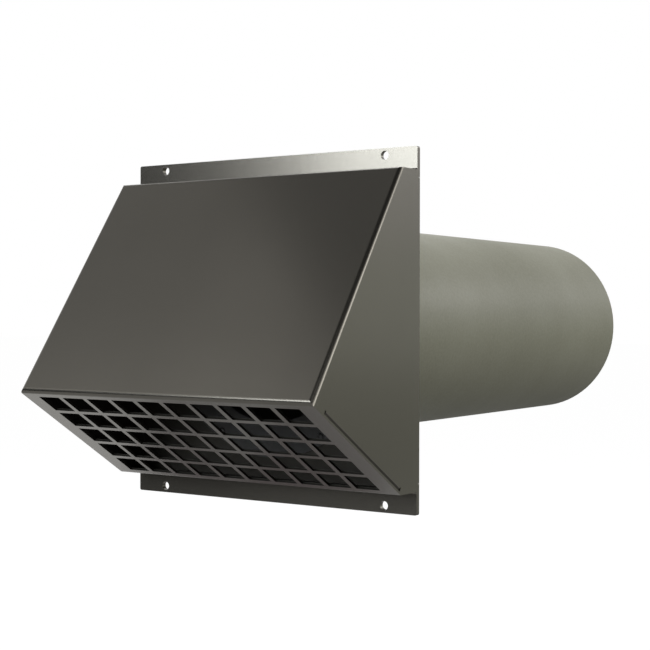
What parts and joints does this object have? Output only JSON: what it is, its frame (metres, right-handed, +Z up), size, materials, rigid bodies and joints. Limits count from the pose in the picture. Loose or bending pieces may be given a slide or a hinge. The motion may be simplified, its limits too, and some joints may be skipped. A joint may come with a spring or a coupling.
{
  "type": "wall vent terminal",
  "caption": "Folded sheet-metal wall hood with a sloping front, a square-hole grille underneath, two wall strips with screw holes, and an insulated round duct behind its back plate.",
  "frame": {"origin": "the duct's axis where it crosses the plane of the wall, which is the back plate's rear face", "axes": "+Z up the wall, +Y into the wall along the duct, -Y out under the hood, +X to the right seen from outside"},
  "size_m": [0.275, 0.66, 0.28],
  "materials": {
    "hood": "satin dark grey-brown metallic powder coat",
    "plate": "satin dark grey-brown metallic powder coat",
    "collar": "matt dark grey powder coat",
    "rivet": "satin dark grey coat",
    "duct_foam": "matte closed-cell foam skin"
  },
  "bodies": {
    "root": {"hood": "hood", "back_plate": "plate", "duct_collar": "collar", "collar_rivets": "rivet", "duct_sleeve": "duct_foam"}
  },
  "joints": []
}
